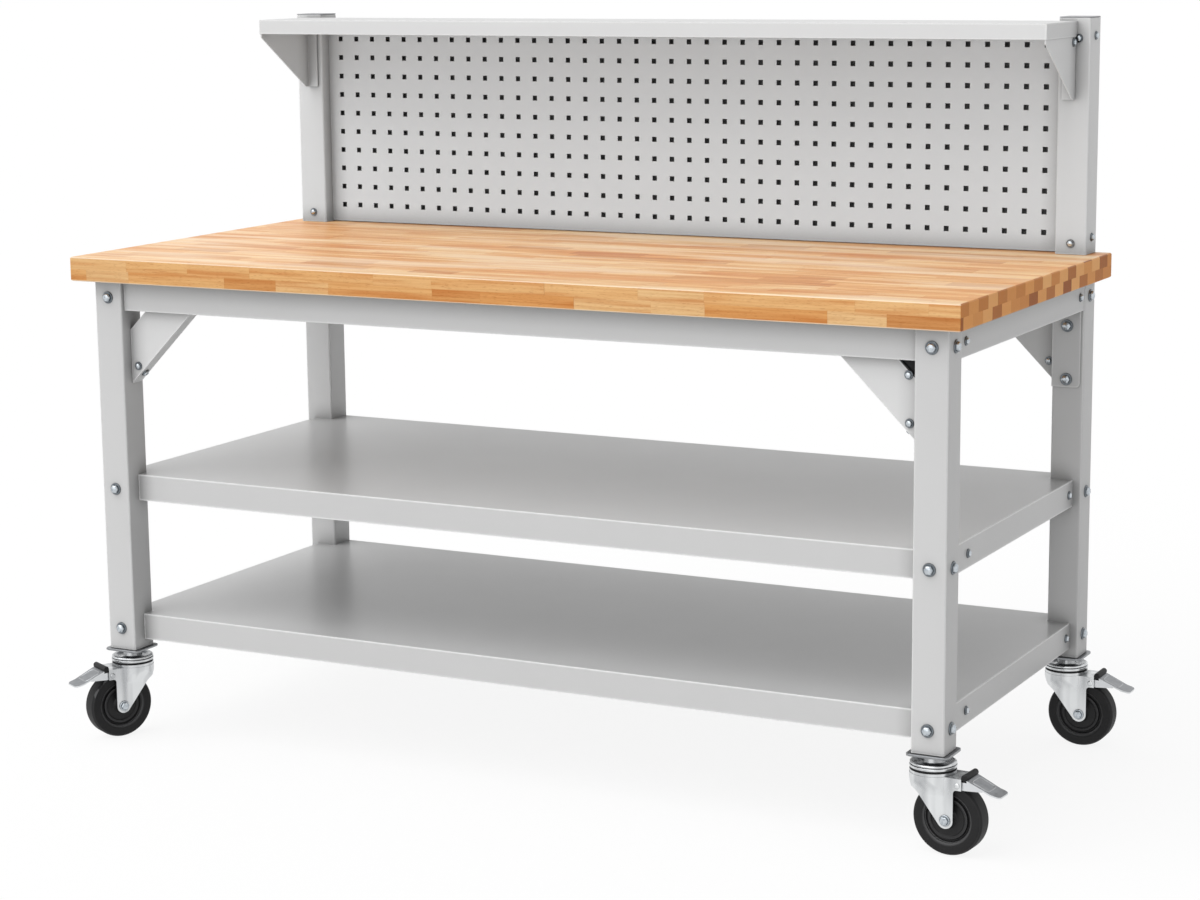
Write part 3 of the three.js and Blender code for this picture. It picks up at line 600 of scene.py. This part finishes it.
places = []
for corner in corners:
    lo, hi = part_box(corner + "_leg")
    middle = (lo + hi) / 2
    sideX, outX = (lo.x, -1) if "left" in corner else (hi.x, 1)
    endY, outY = (lo.y, -1) if "front" in corner else (hi.y, 1)
    for height in legBolts["heights"]:
        places.append(((middle.x, endY, height), (0, outY, 0)))
        places.append(((sideX, middle.y, height), (outX, 0, 0)))
lo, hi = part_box("rear_right_joint_plate")
up, down, aside = legBolts["plate"]
for height in (lo.z + up, hi.z - down):
    places.append((((lo.x + hi.x) / 2 + aside, lo.y, height), (0, -1, 0)))
boltGroup("leg_bolts", places, legBolts["flange"], legBolts["height"])

frameBolts = {
    "flange": 0.0078, "height": 0.006,
    # height, and how far behind the front leg and before the rear leg
    "sides": {"side_rail": (0.853, 0.022, 0.022), "middle_shelf": (0.485, 0.085, 0.022),
              "lower_shelf": (0.213, 0.085, 0.022)},
    "uprightFoot": (0.02, 0.03),  # up from the foot, on the front and on the side
    "uprightTop": (0.036, 0.032, 0.008),  # down from the top, on the front and on the side, and outwards
    "bracket": (0.014, 0.036),  # forward of its rear edge, and down from its top
    "gussetFace": (0.016, 0.034), "gussetFold": (0.02, 0.02),  # from the leg, and up from the foot
    "gussetTop": (0.018, 0.026), "rearGusset": (0.014, 0.04),
}

look = frameBolts
places = []
frontLeg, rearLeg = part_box("front_right_leg")[1].y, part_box("rear_right_leg")[0].y
for side, out in (("left", -1), ("right", 1)):
    for node, (height, behind, before) in look["sides"].items():
        lo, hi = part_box(side + "_" + node if node == "side_rail" else node)
        faceX = lo.x if out < 0 else hi.x
        for y in (frontLeg + behind, rearLeg - before):
            places.append(((faceX, y, height), (out, 0, 0)))
    lo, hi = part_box(side + "_upright")
    faceX = lo.x if out < 0 else hi.x
    middle = (lo + hi) / 2
    frontTop, sideTop, outwards = look["uprightTop"]
    places.append(((middle.x, lo.y, lo.z + look["uprightFoot"][0]), (0, -1, 0)))
    places.append(((faceX, middle.y, lo.z + look["uprightFoot"][1]), (out, 0, 0)))
    places.append(((middle.x + out * outwards, lo.y, hi.z - frontTop), (0, -1, 0)))
    places.append(((faceX, middle.y, hi.z - sideTop), (out, 0, 0)))
    lo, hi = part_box(side + "_shelf_bracket")
    faceX = lo.x if out < 0 else hi.x
    places.append(((faceX, hi.y - look["bracket"][0], hi.z - look["bracket"][1]), (out, 0, 0)))
    lo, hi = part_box("front_" + side + "_gusset")
    legX = lo.x if out < 0 else hi.x
    fromLeg, up = look["gussetFace"]
    places.append(((legX - out * fromLeg, lo.y, lo.z + up), (0, -1, 0)))
    fromLeg, up = look["gussetFold"]
    places.append(((legX - out * fromLeg, (lo.y + hi.y) / 2, lo.z + up), (-out, 0, -1)))
lo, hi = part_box("front_right_gusset")
places.append(((hi.x - look["gussetTop"][0], lo.y, hi.z - look["gussetTop"][1]), (0, -1, 0)))
lo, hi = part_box("rear_right_gusset")
places.append(((hi.x - look["rearGusset"][0], lo.y, lo.z + look["rearGusset"][1]), (0, -1, 0)))
boltGroup("frame_bolts", places, look["flange"], look["height"])
print("bolts placed")


# painted shade: a black piece that fills the corner between the front right gusset, the leg and the apron,
# where that corner lies in shadow
shadePlugLook = {
    "side": 0.0375, "inset": 0.003,
    "rings": ((0.0, 0.022), (0.0, 0.0025), (0.1, 0.0), (0.3, 0.0025)),  # shrink, and depth behind the front
    "toCorner": 0.3, "toSlope": 0.7,  # how the shrink is shared
}


def shadePlugMesh():
    look = shadePlugLook
    lo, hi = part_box("front_right_gusset")
    side, front = look["side"], lo.y + look["inset"]
    bm = bmesh.new()
    rings = []
    for shrink, depth in look["rings"]:
        near, far = side * shrink * look["toCorner"], side * (1 - shrink * look["toSlope"])
        outline = ((hi.x - near, hi.z - near), (hi.x - far, hi.z - near), (hi.x - near, hi.z - far))
        rings.append([bm.verts.new((x, front + depth, z)) for x, z in outline])
    for a, b in zip(rings, rings[1:]):
        for k in range(3):
            bm.faces.new((a[k], a[(k + 1) % 3], b[(k + 1) % 3], b[k]))
    bm.faces.new(rings[0])
    bm.faces.new(rings[-1])
    return meshFrom("corner_shade_plug", bm, softRubber, 30)


addPiece("corner_shade_plug", shadePlugMesh(), "frame")


# castors, made with the wheel trailing along +x from the swivel axis and then set at each corner

castor = {"axle": (0.033, 0.0625), "radius": 0.040, "forkInner": 0.022, "forkOuter": 0.025, "segments": 72}


def castorMatrix(corner):
    lo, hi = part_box(corner + "_castor_plate")
    roll = next(j for j in frame["joints"] if j["name"] == corner + "_roll")
    heading = math.atan2(-roll["axis"][0], roll["axis"][1])
    return Matrix.Translation(((lo.x + hi.x) / 2, (lo.y + hi.y) / 2, 0)) @ Matrix.Rotation(heading, 4, "Z")


onAxle = Matrix.Translation((castor["axle"][0], 0, castor["axle"][1]))
alongAxle = onAxle @ Matrix.Rotation(math.radians(-90), 4, "X")


# a profile that is the same on both sides of the wheel
def mirrored(profile):
    return [(p[0], -p[1]) + tuple(p[2:]) for p in reversed(profile)] + list(profile)


# profiles are (radius, height) or (radius, height, rounding)

tyreLook = {
    "tread": ((0.0625, 0.0125, 0.002),),
    "shoulder": ((0.0597, 0.017, 0.0015), (0.0565, 0.0176, 0.002)),
    "wall": ((0.046, 0.018, 0.002), (0.042, 0.015)),
}


def tyreMesh():
    bm = bmesh.new()
    loop = mirrored(tyreLook["tread"] + tyreLook["shoulder"] + tyreLook["wall"])
    lathe(bm, roundedProfile(loop, closed=True), castor["segments"], closed=True, matrix=alongAxle)
    return meshFrom("tyre", bm, tyreRubber)


hubLook = {
    "groove": ((0.0416, 0.0115), (0.0405, 0.0115, 0.001), (0.039, 0.0085, 0.0012), (0.0365, 0.0085, 0.0012)),
    "disc": ((0.035, 0.0135, 0.0015), (0.031, 0.0138, 0.001), (0.029, 0.0118, 0.001), (0.017, 0.0122, 0.002)),
    "boss": ((0.0135, 0.0165, 0.0015), (0.0125, 0.0213, 0.001), (0.0056, 0.0213)),
}


def hubMesh():
    bm = bmesh.new()
    loop = mirrored(hubLook["groove"] + hubLook["disc"] + hubLook["boss"])
    lathe(bm, roundedProfile(loop, closed=True, steps=3), castor["segments"], closed=True, matrix=alongAxle)
    return meshFrom("hub", bm, hubPlastic)


headLook = {
    "nut": ((0, 0.1297), (0.010, 0.1297), (0.010, 0.1337)),
    "kingpin": ((0.006, 0.1337), (0.006, 0.145)),
    "lowerBand": ((0.038, 0.145, 0.0015), (0.040, 0.1465, 0.001), (0.040, 0.1502, 0.001)),
    "groove": ((0.0378, 0.1508, 0.0004), (0.0378, 0.1516, 0.0004)),
    "upperBand": ((0.0396, 0.1522, 0.001), (0.0392, 0.1548, 0.002), (0.0355, 0.1568, 0.002),
                  (0.032, 0.1555, 0.002)),
    "dish": ((0.026, 0.1505, 0.004), (0.018, 0.154, 0.004), (0.015, 0.1674), (0, 0.1674)),
}


def headMesh():
    bm = bmesh.new()
    profile = [point for part in headLook.values() for point in part]
    lathe(bm, roundedProfile(profile), castor["segments"])
    return meshFrom("head", bm, zinc)


sealLook = {"ring": ((0.008, 0.1448), (0.0375, 0.1448), (0.0375, 0.1423), (0.008, 0.1423)), "segments": 48}


def sealMesh():
    bm = bmesh.new()
    lathe(bm, sealLook["ring"], sealLook["segments"], closed=True)
    return meshFrom("seal", bm, softRubber)


axleLook = {  # each with its number of sides
    "shaft": (((0, -0.026), (0.005, -0.026), (0.005, 0.026), (0, 0.026)), 24),
    "washer": (((0, 0.0003), (0.0095, 0.0003), (0.0095, 0.0018), (0.009, 0.0023), (0, 0.0023)), 36),
    "nut": (((0, 0.002), (0.0075, 0.002), (0.0075, 0.0052), (0.0066, 0.0061), (0, 0.0063)), 6),
}


def axleMesh():
    bm = bmesh.new()
    lathe(bm, *axleLook["shaft"], matrix=alongAxle)
    toFork = Matrix.Translation((0, 0, castor["forkOuter"]))
    for turn in (0, 180):
        onFork = alongAxle @ Matrix.Rotation(math.radians(turn), 4, "X") @ toFork
        lathe(bm, *axleLook["washer"], matrix=onFork)
        lathe(bm, *axleLook["nut"], matrix=onFork)
    return meshFrom("axle", bm, boltZinc)


# a solid with the same outline all along one axis
def extruded(outline, along, low, high):
    bm = bmesh.new()
    order = {"x": (2, 0, 1), "y": (0, 2, 1), "z": (0, 1, 2)}[along]
    near, far = ([bm.verts.new([(a, b, end)[i] for i in order]) for a, b in outline] for end in (low, high))
    bm.faces.new(near)
    bm.faces.new(far)
    for i in range(len(outline)):
        k = (i + 1) % len(outline)
        bm.faces.new((near[i], near[k], far[k], far[i]))
    bmesh.ops.recalc_face_normals(bm, faces=bm.faces)
    mesh = bpy.data.meshes.new("tool")
    bm.to_mesh(mesh)
    bm.free()
    tool = bpy.data.objects.new("tool", mesh)
    bpy.context.scene.collection.objects.link(tool)
    return tool


def arc(centre, radius, start, end, steps):
    turns = [math.radians(start + (end - start) * k / steps) for k in range(steps + 1)]
    return [(centre[0] + radius * math.cos(t), centre[1] + radius * math.sin(t)) for t in turns]


def circle(centre, radius, count):
    return arc(centre, radius, 0, 360 - 360 / count, count - 1)


# cuts a piece with tools, one after another, which are used up
def carve(piece, tools):
    for tool, operation in tools:
        cut = piece.modifiers.new("cut", "BOOLEAN")
        cut.object = tool
        cut.operation = operation
        cut.solver = "EXACT"
    shaped = piece.evaluated_get(bpy.context.evaluated_depsgraph_get())
    mesh = bpy.data.meshes.new_from_object(shaped)
    for used in [piece] + [tool for tool, operation in tools]:
        bpy.data.objects.remove(used)
    return mesh


# pressed fork: a round crown that flares into two cheeks, with an arm over the wheel for the brake
forkLook = {
    "eye": 0.014, "noseBottom": 0.134, "fillet": 0.006, "wall": 0.003,
    "armEnd": 0.0615, "armTop": 0.137, "armBottom": 0.117,
    "flare": (0.106, 0.132), "flareRound": 0.012,
    "collarTop": 0.142, "collarInset": 0.0005,
    "pivot": (0.054, 0.125), "kingpinHole": 0.0066, "axleHole": 0.0056, "pivotHole": 0.0034,
    "past": 0.1,  # how far the tools that cut it reach past it
}


def forkPlan(radius, half, end):
    turn = math.degrees(math.asin(half / radius))
    return [(end, -half), (end, half)] + arc((0, 0), radius, turn, 360 - turn, 48)


def forkEnds(half, radius, bottom, top):
    low, high = forkLook["flare"]
    bend = forkLook["flareRound"]
    right = roundedProfile([(half, bottom), (half, low, bend), (radius, high, bend), (radius, top)], steps=6)
    return right + [(-y, z) for y, z in reversed(right)]


def forkSide(axle, radius):
    look = forkLook
    toAxle = Vector((axle[0] + radius, axle[1] - look["noseBottom"]))
    slope = math.degrees(math.atan2(toAxle.y, toAxle.x) - math.asin(look["eye"] / toAxle.length))
    fillet, edge = look["fillet"], axle[0] + look["eye"]
    side = [(-radius, look["armTop"]), (-radius, look["noseBottom"])]
    side += arc(axle, look["eye"], slope - 90, 0, 24)
    side += arc((edge + fillet, look["armBottom"] - fillet), fillet, 180, 90, 8)
    return side + [(look["armEnd"], look["armBottom"]), (look["armEnd"], look["armTop"])]


def forkMesh():
    look, axle, r = forkLook, castor["axle"], castor["radius"]
    outer, inner, wall, past = castor["forkOuter"], castor["forkInner"], look["wall"], look["past"]
    crown, inset = look["armTop"] - wall, look["collarInset"]
    above = look["armTop"] + past
    body = extruded(forkSide(axle, r), "y", -r, r)

    room = extruded(forkPlan(r - wall, inner, past), "z", -past, crown)
    roomEnds = extruded(forkEnds(inner, r - wall, -2 * past, above), "x", -2 * past, 2 * past)
    hollow = bpy.data.objects.new("hollow", carve(room, [(roomEnds, "INTERSECT")]))
    bpy.context.scene.collection.objects.link(hollow)

    tools = [
        (extruded(forkPlan(r, outer, past), "z", -past, above), "INTERSECT"),
        (extruded(forkEnds(outer, r, -2 * past, 2 * above), "x", -2 * past, 2 * past), "INTERSECT"),
        (hollow, "DIFFERENCE"),
        (extruded(circle((0, 0), r - inset, 60), "z", crown + inset, look["collarTop"]), "UNION"),
        (extruded(circle((0, 0), look["kingpinHole"], 24), "z", look["armBottom"], above), "DIFFERENCE"),
        (extruded(circle(axle, look["axleHole"], 24), "y", -past, past), "DIFFERENCE"),
        (extruded(circle(look["pivot"], look["pivotHole"], 18), "y", -past, past), "DIFFERENCE"),
    ]
    mesh = carve(body, tools)
    bm = bmesh.new()
    bm.from_mesh(mesh)
    bmesh.ops.remove_doubles(bm, verts=bm.verts, dist=edgeLook["weld"] / 2)
    mesh.materials.clear()
    return meshFrom("fork", bm, zinc, 28)


# raised frame pressed into the foot plate of each brake pedal
pedalLook = {
    "root": (0.0705, 0.136), "bend": (0.112, 0.118),  # ends of the foot plate
    "panel": ((0.008, 0.038), 0.0155), "corner": 0.0045, "cornerSteps": 5,
    "ridgeWidth": 0.0026,
    "ridge": ((0.0, -0.0003), (0.25, 0.0006), (0.75, 0.0006), (1.0, -0.0003)),  # share of width, and height
}


def pedalPressMesh():
    bm = bmesh.new()
    look = pedalLook
    root, bend, corner = look["root"], look["bend"], look["corner"]
    tilt = math.atan2(root[1] - bend[1], bend[0] - root[0])
    (near, far), half = look["panel"]
    left, right, side = near + corner, far - corner, half - corner
    centres = ((right, side), (left, side), (left, -side), (right, -side))
    rings = []
    for share, height in look["ridge"]:
        outline = []
        for quarter, centre in enumerate(centres):
            start, radius = 90 * quarter, corner + look["ridgeWidth"] * share
            outline += arc(centre, radius, start, start + 90, look["cornerSteps"])
        rings.append([bm.verts.new((a, b, height)) for a, b in outline])
    count = len(rings[0])
    for a, b in list(zip(rings, rings[1:])) + [(rings[-1], rings[0])]:
        for k in range(count):
            bm.faces.new((a[k], a[(k + 1) % count], b[(k + 1) % count], b[k]))
    onPlate = Matrix.Translation((root[0], 0, root[1])) @ Matrix.Rotation(tilt, 4, "Y")
    bmesh.ops.transform(bm, verts=bm.verts, matrix=onPlate)
    return meshFrom("pedal_press", bm, shadedRidgeZinc, 60)


# rubber roll between the pedal and the fork
bufferLook = {"centre": (0.0662, 0.1392), "radius": 0.0056, "half": 0.0245, "round": 0.002, "segments": 28}


def bufferMesh():
    bm = bmesh.new()
    look = bufferLook
    r, half = look["radius"], look["half"]
    profile = [(0, -half), (r, -half, look["round"]), (r, half, look["round"]), (0, half)]
    along, up = look["centre"]
    alongRoll = Matrix.Translation((along, 0, up)) @ Matrix.Rotation(math.radians(-90), 4, "X")
    lathe(bm, roundedProfile(profile), look["segments"], matrix=alongRoll)
    return meshFrom("buffer", bm, softRubber)


# rivets of the pedal's pivot, one on each side of the fork
rivetLook = {
    "foot": ((0, -0.0005), (0.0048, -0.0005)),
    "dome": ((0.0048, 0.0006, 0.0005), (0.0036, 0.0018, 0.0012), (0, 0.0022)),
    "segments": 24,
}


def rivetMesh():
    bm = bmesh.new()
    along, up = forkLook["pivot"]
    profile = roundedProfile(rivetLook["foot"] + rivetLook["dome"])
    toFork = Matrix.Translation((0, 0, castor["forkOuter"]))
    for turn in (-90, 90):
        onPivot = Matrix.Translation((along, 0, up)) @ Matrix.Rotation(math.radians(turn), 4, "X")
        lathe(bm, profile, rivetLook["segments"], matrix=onPivot @ toFork)
    return meshFrom("rivet", bm, zinc)


castorPieces = (  # name, mesh, body, slot, replaced node
    ("tyre_round", tyreMesh(), "roller", "tyre_rubber", "tyre"),
    ("hub_round", hubMesh(), "roller", "black_plastic", "wheel"),
    ("race_head", headMesh(), "frame", "zinc", "castor_head"),
    ("race_seal", sealMesh(), "frame", "tyre_rubber", None),
    ("axle_bolt", axleMesh(), "swivel", "zinc", "axle"),
    ("pressed_fork", forkMesh(), "swivel", "zinc", "fork"),
    ("pedal_press", pedalPressMesh(), "pedal", "zinc", None),
    ("buffer_roll", bufferMesh(), "pedal", "buffer_rubber", "brake_buffer"),
    ("pivot_rivets", rivetMesh(), "pedal", "zinc", None),
)
for corner in corners:
    for name, mesh, body, slot, node in castorPieces:
        rider = body if body == "frame" else corner + "_" + body
        replaced = [corner + "_" + node] if node else ()
        addPiece(corner + "_" + name, mesh, rider, castorMatrix(corner), replaced)
print("castors dressed")


# floor, light and camera

studio = {
    "sky": (0.86, 0.3),  # from left to right
    "floor": "#E2E2E2", "floorWhite": "#FCFCFC", "floorSeen": 0.88,  # the last is its share without shadow
    "floorSize": 150.0, "floorDrop": 0.0005,
    "key": (1.6, (-0.33, -0.42, 0.845), 60),  # strength, direction and spread in degrees
    "fill": (0.72, (-0.1, -0.99, 0.08), 60),
}


# 1 for rays from the camera, and for those that mirrors and glass pass on
def seenDirectly(tree):
    rays = addNode(tree, "ShaderNodeLightPath").outputs
    seen = rays["Is Camera Ray"]
    for kind in ("Is Glossy Ray", "Is Transmission Ray"):
        seen = addNode(tree, "ShaderNodeMath", {"operation": "MAXIMUM"}, {0: seen, 1: rays[kind]})
    return seen


def makeStudio():
    world = bpy.data.worlds.new("studio")
    bpy.context.scene.world = world
    world.use_nodes = True
    tree = world.node_tree
    seen = seenDirectly(tree)
    place = addNode(tree, "ShaderNodeTexCoord").outputs["Generated"]
    toRight = addNode(tree, "ShaderNodeSeparateXYZ", inputs={0: place}).outputs[0]
    left, right = studio["sky"]
    soft = addNode(tree, "ShaderNodeMapRange", inputs={
        "Value": toRight, "From Min": -1.0, "From Max": 1.0, "To Min": left, "To Max": right})
    strength = addNode(tree, "ShaderNodeMix", inputs={0: seen, 2: soft, 3: 1.0})
    feed(tree, tree.nodes["Background"], {"Color": (1, 1, 1, 1), "Strength": strength})
    for name in ("key", "fill"):
        energy, direction, angle = studio[name]
        sun = bpy.data.lights.new(name, "SUN")
        sun.energy = energy
        sun.angle = math.radians(angle)
        lamp = bpy.data.objects.new(name, sun)
        lamp.rotation_mode = "QUATERNION"
        lamp.rotation_quaternion = Vector(direction).to_track_quat("Z", "Y")
        bpy.context.scene.collection.objects.link(lamp)


def makeFloor():
    mesh = bpy.data.meshes.new("floor")
    size = studio["floorSize"]
    square = [(-size, -size, 0), (size, -size, 0), (size, size, 0), (-size, size, 0)]
    mesh.from_pydata(square, [], [(0, 1, 2, 3)])
    floor = bpy.data.objects.new("floor", mesh)
    floor.location.z = -studio["floorDrop"]
    bpy.context.scene.collection.objects.link(floor)
    material, tree, shader = newMaterial("white_paper_sweep", {"Roughness": 0.9, "Specular IOR Level": 0.0})
    seen = seenDirectly(tree)
    paper = addNode(tree, "ShaderNodeMix", mixing, {
        0: seen, 6: linear(studio["floor"]), 7: linear(studio["floorWhite"])}).outputs[2]
    feed(tree, shader, {"Base Color": paper})
    white = addNode(tree, "ShaderNodeEmission", inputs={"Color": (1, 1, 1, 1), "Strength": 1.0})
    share = addNode(tree, "ShaderNodeMath", {"operation": "MULTIPLY"}, {0: seen, 1: studio["floorSeen"]})
    both = addNode(tree, "ShaderNodeMixShader", inputs={0: share, 1: shader, 2: white})
    feed(tree, tree.nodes["Material Output"], {"Surface": both})
    mesh.materials.append(material)


photoView = {
    "place": (2.377, -4.4984, 1.4969), "yaw": -27.47, "pitch": -10.39, "roll": -0.57,
    "focalPixels": 2768.5, "width": 1200,
}


def makeCamera():
    data = bpy.data.cameras.new("camera")
    data.sensor_width = 36.0
    data.sensor_fit = "HORIZONTAL"
    data.lens = photoView["focalPixels"] / photoView["width"] * data.sensor_width
    camera = bpy.data.objects.new("camera", data)
    pitch, yaw, roll = (math.radians(photoView[name]) for name in ("pitch", "yaw", "roll"))
    aim = Euler((math.radians(90) + pitch, 0, -yaw)).to_matrix().to_4x4()
    camera.matrix_world = Matrix.Translation(photoView["place"]) @ aim @ Matrix.Rotation(roll, 4, "Z")
    bpy.context.scene.collection.objects.link(camera)
    bpy.context.scene.camera = camera


makeStudio()
makeFloor()
makeCamera()
bpy.context.scene.view_settings.view_transform = "Standard"
print("studio ready")
